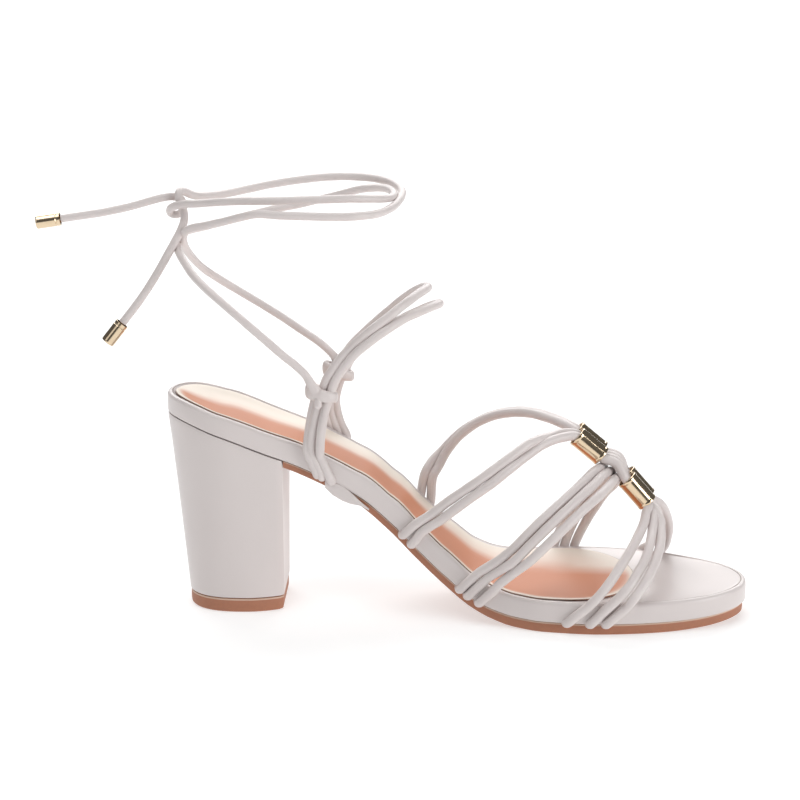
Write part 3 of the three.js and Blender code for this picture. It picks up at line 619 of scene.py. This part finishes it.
footbed_rings = [sole_ring(footbed_outline, 3.0, share, over_bottom(0)) for share in (0, 0.35, 0.7)]
footbed_rings += [sole_ring(footbed_outline, inset, 1, over_bottom(rise)) for inset, rise in (
    (2.6, 0), (1.2, 0.04), (0.45, 0.18), (0.12, 0.5), (0, 1.0), (0, 4.2),
)]
footbed_rings += [sole_ring(footbed_outline, inset, 1, over_top(drop)) for inset, drop in (
    (0, 3.4), (0, 1.7), (0.12, 1.0), (0.45, 0.42), (0.95, 0.1), (1.45, 0.0), (1.75, 0.05),
    (1.9, 0.3), (2.05, 0.3), (2.2, 0.06),
)]
footbed_rings += [sole_ring(footbed_outline, inset, 1, footbed_hollow) for inset in HOLLOW_INSETS]
footbed_rings += [
    sole_ring(footbed_outline, HOLLOW_INSETS[-1], share, footbed_hollow) for share in INNER_SHARES
]
wrap_leather = finish_leather(
    "wrap_leather", (0.725, 0.665, 0.65, 1), (0.68, 0.62, 0.605, 1), 0.36, 1900, 120, 0.00018,
    [("seam", (0.24, 0.17, 0.14, 1))],
)
wrap_leather.node_tree.nodes["Principled BSDF"].inputs["Coat Weight"].default_value = 0.15
wrap_leather.node_tree.nodes["Principled BSDF"].inputs["Coat Roughness"].default_value = 0.25
footbed = skin_rings("footbed_wrap", footbed_rings, wrap_leather)
mark_rings(footbed, "seam", footbed_rings, {16: 1.0, 17: 1.0})
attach(footbed, "root")
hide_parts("footbed")

# Insole sock: a thin lining of tan leather let down in the footbed's hollow from the seat to the
# ball, skived to a pale edge all round and glued. It is bare of any stamp. A wide cream band over its
# outer side, fading into the tan towards the middle, is a painted highlight.
sock_margin = 3.2
sock_length = 186
sock_front_round = 34
sock_front_roundness = 2.4
sock_padding = 0.85
sock_under = 0.55
sock_flat_end = 12
sock_fade = 30
outer_drop = 0.6
sock_inner_inset = 8


def sock_half(x):
    front_fade = min(1, max(0, 1 - (sock_length - x) / sock_front_round))
    back_fade = min(1, max(0, 1 - (x - sock_margin) / (heel_round - sock_margin)))
    front = math.sqrt(max(0, 1 - front_fade**sock_front_roundness))
    back = math.sqrt(max(0, 1 - back_fade**seat_roundness))
    return (sole_section(x)["full"] - sock_margin) * (front * back)


sock_outline = run_outline(sock_margin, sock_length, sock_half, 240)


def outer_share(x, y):
    """0 on the sole's inner half, rising to 1 a third of the way over its outer half."""
    section = sole_section(x)
    return min(1, max(0, 3 * (y - section["centre"]) / max(section["half"], 1)))


def over_rim(share, rise):
    """Height of the sock's padded edge: share of the way from the hollow up to the footbed's rim. The
    edge is flatter on the outer side."""
    def height(x, y):
        fade = share * min(1, max(0, (sock_length - sock_flat_end - x) / sock_fade))
        edge = sole_section(x)["top"] + rise - outer_drop * outer_share(x, y)
        return (1 - fade) * (footbed_hollow(x, y) + sock_padding) + fade * edge
    return height


SOCK_PROFILE = [
    (0.03, 1, -0.05), (0.1, 1, 0.16), (0.35, 1, 0.34), (0.8, 1, 0.38), (1.4, 0.9, 0.3), (2.2, 0.7, 0.2),
    (3.2, 0.45, 0.1), (4.5, 0.22, 0), (6, 0.08, 0), (8, 0, 0),
]


def sock_inner_ring(share):
    return sole_ring(sock_outline, sock_inner_inset, share, over_rim(0, 0))


def sock_edge_ring(inset, share, rise):
    return sole_ring(sock_outline, inset, 1, over_rim(share, rise))


sock_rings = [sock_inner_ring(share) for share in (0, 0.5)]
sock_rings += [sock_edge_ring(*row) for row in SOCK_PROFILE[:1:-1]]
for ring in sock_rings:
    for place in ring:
        place.z -= sock_under * 0.001
sock_rings += [sock_edge_ring(0, 1, -0.35)]
sock_rings += [sock_edge_ring(*row) for row in SOCK_PROFILE]
sock_rings += [sock_inner_ring(share) for share in INNER_SHARES]
# Cream mark: along the inner side it is the skived edge's own colour. On the outer side it is a painted
# highlight, a wide band fading into the tan.
sock_leather = finish_leather(
    "sock_leather", (0.62, 0.255, 0.14, 1), (0.55, 0.215, 0.115, 1), 0.46, 2200, 90, 0.00012,
    [("skived_edge_and_painted_sheen", (0.84, 0.76, 0.67, 1)), ("seam", (0.26, 0.17, 0.13, 1))],
)
sock_leather.node_tree.nodes["Principled BSDF"].inputs["Specular IOR Level"].default_value = 0.3
sock = skin_rings("insole_sock_lining", sock_rings, sock_leather)
# Pale mark for each ring, inner side then outer side. It is narrow on the inner side, where it is the
# skived edge. It is wide on the outer side, where it is a painted highlight.
SOCK_EDGE_AND_PAINTED_SHEEN = {
    12: (1, 1), 13: (1, 1), 14: (1, 1), 15: (0.9, 1), 16: (0.5, 1), 17: (0.15, 1), 18: (0, 0.98),
    19: (0, 0.95), 20: (0, 0.9), 21: (0, 0.75), 22: (0, 0.45), 23: (0, 0.15),
}


def mark_sides(piece, name, rings, chosen):
    """Marks the points of the chosen rings, from a mark for the inner side to one for the outer."""
    marked = {}
    for i, (inner, outer) in chosen.items():
        for p in rings[i]:
            share = outer_share(p.x * 1000 + heel_setback, p.y * 1000)
            marked[place_key(p)] = inner + (outer - inner) * share
    mark_points(piece, name, marked)


mark_sides(sock, "skived_edge_and_painted_sheen", sock_rings, SOCK_EDGE_AND_PAINTED_SHEEN)
mark_rings(sock, "seam", sock_rings, {10: 1.0, 11: 1.0, 12: 0.6})
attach(sock, "root")
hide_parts("insole_sock")

# Heel: a hollow moulded block wrapped in the same leather, D-shaped from above, with a flat breast
# and softly rounded corners beside it. It is screwed up into the seat.
tip_height = 5.7
heel_back_slant = 8.2
heel_slant_ease = 0.9
heel_tip_half_width = 21
heel_widest = 0.58
heel_roundness = 2.5
heel_narrowing = 0.22
heel_corner = 0.9
heel_steps = 48
breast_steps = 12
heel_lift = 0.35


def heel_half(level, share):
    """Half width of the heel, level up from its tip and share of the way from its back to its breast."""
    round_back = min(1, max(0, 1 - share / heel_widest))
    back = max(0, 1 - round_back**heel_roundness) ** (1 / heel_roundness)
    narrowing = heel_narrowing * (max(share - heel_widest, 0) / (1 - heel_widest)) ** 2
    tip_half = heel_tip_half_width * back * (1 - narrowing)
    return tip_half + (sole_section(share * heel_breast)["half"] - tip_half) * level


def heel_ring(level, height, inset=0.0):
    """A level ring of the heel: from the breast's inner corner round the back to its outer corner,
    with the corners rounded, and home across the breast."""
    slant = heel_back_slant * (1 - level) ** heel_slant_ease
    front = heel_breast - inset
    ring = []
    for side, order in ((-1, range(heel_steps, -1, -1)), (1, range(1, heel_steps + 1))):
        for i in order:
            share = 1 - math.cos(math.pi / 2 * i / heel_steps)
            x = slant + inset + share * (front - slant - inset)
            half = max(heel_half(level, share) - inset, 0.0)
            reach = max(0.0, (x - (front - heel_corner)) / heel_corner)
            half -= heel_corner * (1 - math.sqrt(max(0.0, 1 - reach**2)))
            ring.append(Vector((x - heel_setback, side * half, height(share * heel_breast))) * 0.001)
    last = ring[-1] * 1000
    for i in range(1, breast_steps):
        y = last.y * (1 - 2 * i / breast_steps)
        ring.append(Vector((front - heel_setback, y, height(heel_breast))) * 0.001)
    return ring


def flat_at(z):
    return lambda x: z


def heel_level(level):
    """Heights of a ring, level of the way up from the heel's foot to the seat's underside."""
    foot = tip_height + heel_lift
    return lambda x: foot + level * (sole_section(x)["over"] - foot)


HEEL_FOOT = [(0.2, 1.2), (0.25, 0.35), (0.5, 0.05)]
HEEL_LEVELS = [0.012, *(k / 16 for k in range(1, 16)), 0.985]
heel_rings = [heel_ring(0, flat_at(tip_height + above), inset) for above, inset in HEEL_FOOT]
heel_rings += [heel_ring(level, heel_level(level)) for level in HEEL_LEVELS]
heel_rings += [heel_ring(1, heel_level(1), 0.25)]
heel_rings += [[Vector((p.x, 0, p.z)) for p in heel_rings[-1]]]
heel = skin_rings("heel_wrap", heel_rings, wrap_leather, True)
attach(heel, "root")
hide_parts("heel_block")

# Heel tip: a moulded rubber top piece pinned under the heel, a hair smaller than it, with a softened
# lower edge.
tip_rubber = finish_rubber("tip_rubber", (0.46, 0.2, 0.115, 1), (0.38, 0.155, 0.09, 1), 900, 0.00012)
TIP_PROFILE = [
    (0, 1.5), (0.15, 0.85), (0.6, 0.45), (1.5, 0.3), (tip_height - 0.9, 0.3), (tip_height - 0.6, 0.3),
    (tip_height - 0.3, 0.3), (tip_height, 0.55),
]
heel_tip_rings = [heel_ring(0, flat_at(z), inset) for z, inset in TIP_PROFILE]
heel_tip = skin_rings("heel_tip_rubber", heel_tip_rings, tip_rubber, True, True)
# The heel tip's pale mark is a real cream line along its top.
mark_rings(heel_tip, "cream_line_and_painted_highlight", heel_tip_rings, {5: 0.8, 6: 0.8})
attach(heel_tip, "root")
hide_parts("heel_tip")

# Forefoot straps: eight cords of the same rolled leather, lasted in between footbed and outsole.
# Four run from the waist through the tubes to the toe, a short one starts in a front tube, and three
# cross from side to side under them.
cord_radius = 1.9
crest_rise = 60
tube_radius = 4.2
tube_length = 13
tube_gap = 0.5
strand_point_spacing = 0.0012
AWAY, NEAR = 1.75, -1.75  # where a strand lies in its tube, off the tube's axis
TUBE_PAIRS = {"rear": (0.728, -0.036, 0.885, 40), "front": (0.811, -0.062, 0.592, 49)}
INNER, OUTER = -1, 1


def from_seat(x, y, z):
    return Vector((x - heel_setback, y, z)) * 0.001


def over_foot(*rows):
    """Points over the footbed, in thousandths: along its length, across its width, up to the crest."""
    points = []
    for along, across, up in rows:
        x = along / 1000 * sole_length
        z = sole_section(x)["top"] + up / 1000 * crest_rise
        points.append(from_seat(x, across / 1000 * ball_width, z))
    return points


def strap_foot(side, top_along, edge_along, radius=cord_radius):
    """A strap's end: down the footbed's side and in between footbed and outsole."""
    rim_x, edge_x = top_along * sole_length, edge_along * sole_length
    rim, edge = sole_section(rim_x), sole_section(edge_x)
    half = (rim["half"] + edge["half"]) / 2
    centre = (rim["centre"] + edge["centre"]) / 2
    return [
        from_seat(rim_x, rim["centre"] + side * (rim["half"] + 0.8 * radius), rim["top"] - 0.8),
        from_seat(
            0.45 * rim_x + 0.55 * edge_x, centre + side * (half + 0.62 * radius),
            0.45 * rim["top"] + 0.55 * edge["bottom"],
        ),
        from_seat(edge_x, edge["centre"] + side * (edge["half"] + 0.2 * radius), edge["bottom"] + 0.5),
        from_seat(edge_x - 0.5, edge["centre"] + side * (edge["half"] - 3), edge["bottom"] + 0.2),
    ]


def on_tube(pair, side, shift, aside=0.0):
    """A place along a tube, shift half lengths from its middle and aside millimetres off its axis."""
    along, across, up, slope = TUBE_PAIRS[pair]
    x = along * sole_length
    angle = math.radians(slope)
    reach = shift * tube_length / 2
    return from_seat(
        x + reach * math.cos(angle), across * ball_width + side * (tube_radius + tube_gap / 2) + aside,
        sole_section(x)["top"] + up * crest_rise - reach * math.sin(angle),
    )


def through_tube(pair, side, aside):
    return [on_tube(pair, side, shift, aside) for shift in (-1.05, 0, 1.05)]


FOREFOOT_STRANDS = [
    strap_foot(INNER, 0.431, 0.411)[::-1]
    + over_foot(
        (462, -331, 183), (484, -350, 331), (511, -369, 499), (542, -375, 669), (575, -350, 808),
        (604, -306, 903), (626, -256, 954), (645, -194, 967), (664, -131, 965), (683, -90, 972),
    )
    + through_tube("rear", INNER, AWAY)
    + over_foot((776, -80, 781))
    + through_tube("front", INNER, AWAY)
    + over_foot(
        (839, -150, 453), (838, -212, 409), (835, -287, 363), (830, -375, 315), (822, -456, 253),
        (809, -525, 192), (796, -575, 128), (777, -600, 53),
    ) + strap_foot(INNER, 0.76, 0.73),
    strap_foot(INNER, 0.443, 0.426)[::-1]
    + over_foot(
        (477, -350, 201), (501, -375, 355), (528, -388, 525), (559, -388, 672), (592, -350, 800),
        (626, -263, 889), (645, -219, 930), (663, -179, 951), (682, -141, 959),
    )
    + through_tube("rear", INNER, NEAR)
    + over_foot((774, -122, 779))
    + through_tube("front", INNER, NEAR)
    + over_foot(
        (826, -188, 467), (822, -250, 423), (814, -312, 378), (804, -388, 333), (793, -456, 285),
        (779, -512, 223), (764, -562, 152), (744, -597, 64),
    ) + strap_foot(INNER, 0.725, 0.691),
    [on_tube("front", INNER, shift) for shift in (0.5, 1.05)]
    + over_foot(
        (850, -169, 420), (851, -231, 369), (850, -312, 319), (844, -400, 265), (835, -481, 209),
        (824, -544, 153), (812, -581, 94), (798, -604, 29),
    ) + strap_foot(INNER, 0.791, 0.757),
    strap_foot(OUTER, 0.435, 0.43)[::-1]
    + over_foot(
        (442, 281, 152), (454, 325, 268), (470, 362, 381), (486, 375, 493), (503, 375, 612),
        (528, 369, 761), (553, 344, 868), (577, 312, 939), (602, 275, 984), (626, 228, 1003),
        (652, 172, 1004), (678, 109, 989),
    )
    + through_tube("rear", OUTER, AWAY)
    + over_foot((780, 31, 772))
    + through_tube("front", OUTER, AWAY)
    + over_foot(
        (853, 62, 439), (863, 125, 366), (869, 188, 290), (873, 250, 203), (872, 300, 120),
        (869, 338, 48),
    ) + strap_foot(OUTER, 0.861, 0.857),
    strap_foot(OUTER, 0.452, 0.443)[::-1]
    + over_foot(
        (456, 275, 186), (465, 306, 275), (475, 325, 379), (486, 331, 478), (502, 328, 603),
        (526, 320, 760), (551, 296, 871), (576, 263, 946), (600, 222, 991), (626, 175, 1011),
        (652, 120, 1008), (678, 57, 992),
    )
    + through_tube("rear", OUTER, NEAR)
    + over_foot((778, -25, 776))
    + through_tube("front", OUTER, NEAR)
    + over_foot(
        (847, 44, 411), (853, 119, 330), (855, 219, 215), (850, 300, 113), (841, 362, 31),
    ) + strap_foot(OUTER, 0.828, 0.824),
    strap_foot(INNER, 0.529, 0.509)[::-1]
    + over_foot(
        (542, -440, 68), (558, -468, 148), (578, -494, 234), (601, -512, 337), (624, -512, 440),
        (648, -487, 530), (671, -444, 599), (695, -381, 661), (715, -306, 708), (733, -212, 745),
        (747, -113, 746), (754, -13, 714), (752, 113, 638), (737, 237, 512), (710, 350, 321),
        (686, 412, 147),
    ) + strap_foot(OUTER, 0.672, 0.668),
    strap_foot(INNER, 0.544, 0.523)[::-1]
    + over_foot(
        (558, -460, 73), (577, -493, 156), (601, -537, 256), (625, -544, 366), (648, -531, 458),
        (671, -500, 535), (694, -450, 602), (714, -388, 654), (733, -306, 693), (749, -206, 720),
        (761, -106, 714), (768, -6, 682), (766, 119, 598), (752, 231, 487), (732, 338, 341),
        (707, 406, 179),
    ) + strap_foot(OUTER, 0.69, 0.686),
    strap_foot(INNER, 0.565, 0.542)[::-1]
    + over_foot(
        (577, -484, 62), (603, -527, 182), (627, -562, 274), (657, -556, 390), (687, -519, 494),
        (711, -463, 568), (730, -400, 612), (751, -306, 652), (766, -200, 674), (775, -100, 672),
        (778, 0, 632), (776, 125, 555), (761, 237, 450), (746, 331, 323), (728, 400, 179),
    ) + strap_foot(OUTER, 0.708, 0.704),
]
for number, points in enumerate(FOREFOOT_STRANDS, 1):
    line = run_cord_line(points, strand_point_spacing)
    strand = roll_cord(f"forefoot_strand_{number}", line, cord_radius * 0.001, cord_leather)
    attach(strand, "root")
    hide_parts("forefoot_straps")

# Tubes: four short lengths of drawn brass tube in pale gold plate, two side by side at each place,
# with turned rims. They gather the forefoot cords and slide on them.
tube_sides = 56


def tube_profile():
    """A tube's section, round its wall: turned rims and a shallow step where each rim ends."""
    half, radius, wall = tube_length / 2000, tube_radius / 1000, 0.0006
    rim, bevel, step = 0.0003, 0.0001, 0.00012
    front = [
        (radius - wall, half - rim), (radius - wall + bevel, half - bevel), (radius - 0.5 * wall, half),
        (radius - bevel, half - bevel), (radius, half - rim), (radius, half - 0.0011),
        (radius - step, half - 0.0013), (radius - step, half - 0.0015),
    ]
    back = [(r, -along) for r, along in front]
    return [*back, *front[::-1], back[0]]


for pair in TUBE_PAIRS:
    for place, side in (("inner", INNER), ("outer", OUTER)):
        middle = on_tube(pair, side, 0)
        direction = (on_tube(pair, side, 1) - middle).normalized()
        rings = turned_rings(tube_profile(), middle, direction, tube_sides)
        tube = skin_rings(f"tube_{pair}_{place}_metal", rings, pale_gold)
        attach(tube, "root")
        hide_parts(f"tube_{pair}_{place}")

# Instep strap: two cords in an arch over the instep and a third, short one on each leg, the ankle
# tie's end wound round all three as a band. The legs are lasted in like the forefoot straps.
arch_rise = 78
leg_along = 0.266
instep_radius = 1.8


def over_instep(*rows):
    """Points of the arch, in thousandths: along the footbed, across it, up to the top of the arch."""
    level = sole_section(leg_along * sole_length)["top"]
    return [
        from_seat(a / 1000 * sole_length, b / 1000 * ball_width, level + up / 1000 * arch_rise)
        for a, b, up in rows
    ]


INSTEP_STRANDS = [
    strap_foot(INNER, 0.255, 0.272, instep_radius)[::-1]
    + over_instep(
        (255, -320, 64), (257, -325, 117), (262, -325, 195), (268, -328, 268), (274, -331, 330),
        (281, -338, 394), (293, -347, 453), (306, -353, 508), (322, -356, 560), (339, -356, 606),
        (355, -350, 646), (372, -338, 684), (389, -312, 719), (405, -269, 750), (421, -212, 776),
        (435, -138, 793), (446, -62, 800), (449, 0, 796), (442, 62, 783), (429, 125, 754),
        (413, 194, 710), (397, 244, 664), (381, 281, 615), (363, 310, 564), (345, 325, 513),
        (327, 325, 462), (310, 319, 407), (297, 306, 351), (289, 297, 294), (281, 294, 221),
        (275, 291, 141), (276, 291, 66), (283, 287, 0),
    ) + strap_foot(OUTER, 0.291, 0.289, instep_radius),
    strap_foot(INNER, 0.27, 0.288, instep_radius)[::-1]
    + over_instep(
        (270, -338, 49), (272, -344, 123), (276, -341, 199), (282, -341, 272), (289, -344, 334),
        (297, -350, 397), (310, -360, 461), (324, -369, 515), (339, -375, 560), (356, -369, 599),
        (372, -356, 633), (389, -331, 662), (405, -294, 686), (421, -244, 702), (438, -181, 711),
        (454, -106, 716), (466, -37, 715), (469, 19, 708), (463, 75, 692), (450, 125, 669),
        (434, 181, 636), (416, 231, 601), (398, 269, 563), (380, 296, 525), (363, 316, 484),
        (345, 328, 440), (327, 331, 394), (311, 325, 341), (302, 312, 291), (292, 304, 224),
        (285, 300, 139), (287, 300, 70), (294, 297, 1),
    ) + strap_foot(OUTER, 0.304, 0.302, instep_radius),
    strap_foot(INNER, 0.247, 0.264, instep_radius)[::-1] + over_instep(
        (248, -305, 60), (250, -300, 110), (254, -295, 187), (259, -297, 260), (264, -304, 313),
    ),
    over_instep(
        (280, 293, 258), (271, 290, 211), (265, 287, 142), (266, 287, 78), (272, 285, 11),
    ) + strap_foot(OUTER, 0.28, 0.278, instep_radius),
]
for number, points in enumerate(INSTEP_STRANDS, 1):
    line = run_cord_line(points, strand_point_spacing)
    strand = roll_cord(f"instep_strand_{number}", line, instep_radius * 0.001, cord_leather)
    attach(strand, "root")
    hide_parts("instep_strap")


band_reach = Vector((0.0052, 0.0031, 0))
band_tall = 0.0026
band_thick = 0.0013
band_steps = 48
band_sides = 20


def wind_band(name, middle, tilt):
    """A flattened cord wound once round a leg's cords, fullest at the back, where the tie leaves it."""
    rings = []
    for step in range(band_steps + 1):
        turn = 2 * math.pi * (step % band_steps) / band_steps
        out = Vector((math.cos(turn), math.sin(turn), 0))
        reach = Vector((band_reach.x * out.x, band_reach.y * out.y, -tilt * band_reach.x * out.x))
        core = middle + reach
        facing = Vector((out.x / band_reach.x, out.y / band_reach.y, 0)).normalized()
        tall = band_tall * (1 - 0.2 * out.x)
        thick = band_thick * (1 - 0.15 * out.x)
        ring = []
        for k in range(band_sides):
            a = 2 * math.pi * k / band_sides
            flat = math.copysign(abs(math.sin(a)) ** 0.8, math.sin(a))
            ring.append(core + facing * thick * math.cos(a) + Vector((0, 0, tall * flat)))
        rings.append(ring)
    band = skin_rings(name, rings, cord_leather)
    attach(band, "root")
    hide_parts("instep_strap")


wind_band("instep_band_inner", Vector((0.0350, -0.0268, 0.0913)), 0.24)
wind_band("instep_band_outer", Vector((0.0388, 0.0238, 0.0880)), 0.3)

# Loose ends at the inner leg: the tie's own cut end under the band, and the flattened tail of the
# front cord, which is glued forward along the lower edge of the footbed's wrap.
TAIL_ROWS = [
    (0.277, -1.45, 2.0), (0.290, -2.3, 2.6), (0.306, -2.15, 3.1), (0.321, -2.2, 2.4), (0.336, -2.1, 1.0),
    (0.352, -2.0, 0.35),
]
tail_thickness = 0.8
tail_sides = 16
cut_end_spacing = 0.0004
cut_end_width = 0.25
cut_end_swell = 0.3
tie_end_line = run_cord_line(
    from_tenths((330, -290, 910), (334, -299, 892), (336, -304, 872), (337, -306, 860)), cut_end_spacing
)
left_to_end = range(len(tie_end_line) - 1, -1, -1)
tie_end = roll_cord(
    "tie_cut_end", tie_end_line, tie_radius, cord_leather,
    [min(1, cut_end_width + left * cut_end_swell) for left in left_to_end],
)
tail_rings = []
for along, up, tall in TAIL_ROWS:
    section = sole_section(along * sole_length)
    y = section["centre"] - section["half"]
    tail_rings.append([
        from_seat(
            along * sole_length, y - 0.1 - tail_thickness * math.cos(2 * math.pi * k / tail_sides),
            section["bottom"] + up + tall * math.sin(2 * math.pi * k / tail_sides),
        ) for k in range(tail_sides)
    ])
tail = skin_rings("strap_tail", tail_rings, cord_leather, True, True)
for end in (tie_end, tail):
    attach(end, "root")
    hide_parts("instep_strap")

# Studio: a pale floor that fills the view and large soft lights above, in front and behind.
bpy.ops.mesh.primitive_plane_add(size=20, location=(0, 4.0, 0))
floor = bpy.context.object
floor.name = "studio_floor"
floor_paint = bpy.data.materials.new("studio_floor_paint")
floor_paint.use_nodes = True
floor_surface = floor_paint.node_tree.nodes["Principled BSDF"]
floor_surface.inputs["Base Color"].default_value = (0.55, 0.55, 0.55, 1)
floor_surface.inputs["Roughness"].default_value = 1.0
floor_surface.inputs["Specular IOR Level"].default_value = 0.0
floor_surface.inputs["Emission Color"].default_value = (1, 1, 1, 1)
floor_surface.inputs["Emission Strength"].default_value = 0.56
floor.data.materials.append(floor_paint)
floor.select_set(False)

studio = bpy.data.worlds.new("studio")
studio.use_nodes = True
studio.node_tree.nodes["Background"].inputs["Color"].default_value = (1, 1, 1, 1)
studio.node_tree.nodes["Background"].inputs["Strength"].default_value = 0.12
bpy.context.scene.world = studio
bpy.context.scene.view_settings.view_transform = "Standard"


def hang_light(name, place, aim, size, power):
    lamp = bpy.data.lights.new(name, "AREA")
    lamp.shape = "RECTANGLE"
    lamp.size, lamp.size_y = size
    lamp.energy = power
    light = bpy.data.objects.new(name, lamp)
    light.location = place
    light.rotation_euler = (Vector(aim) - Vector(place)).to_track_quat("-Z", "Y").to_euler()
    bpy.context.scene.collection.objects.link(light)


hang_light("back_softbox", (0.0, 1.9, 1.6), (0.06, 0, 0), (3.0, 1.8), 62)
hang_light("overhead_softbox", (-0.35, -0.4, 1.9), (0.06, 0, 0), (1.6, 1.6), 19)
hang_light("key_softbox", (-1.3, -1.5, 1.2), (0.05, 0, 0.08), (1.0, 1.0), 2.5)
hang_light("toe_softbox", (1.9, -1.0, 0.5), (0.1, 0, 0.04), (1.0, 0.8), 16)
hang_light("strip_light", (1.26, -0.72, 1.05), (0.13, 0, 0.05), (0.05, 1.0), 1.0)
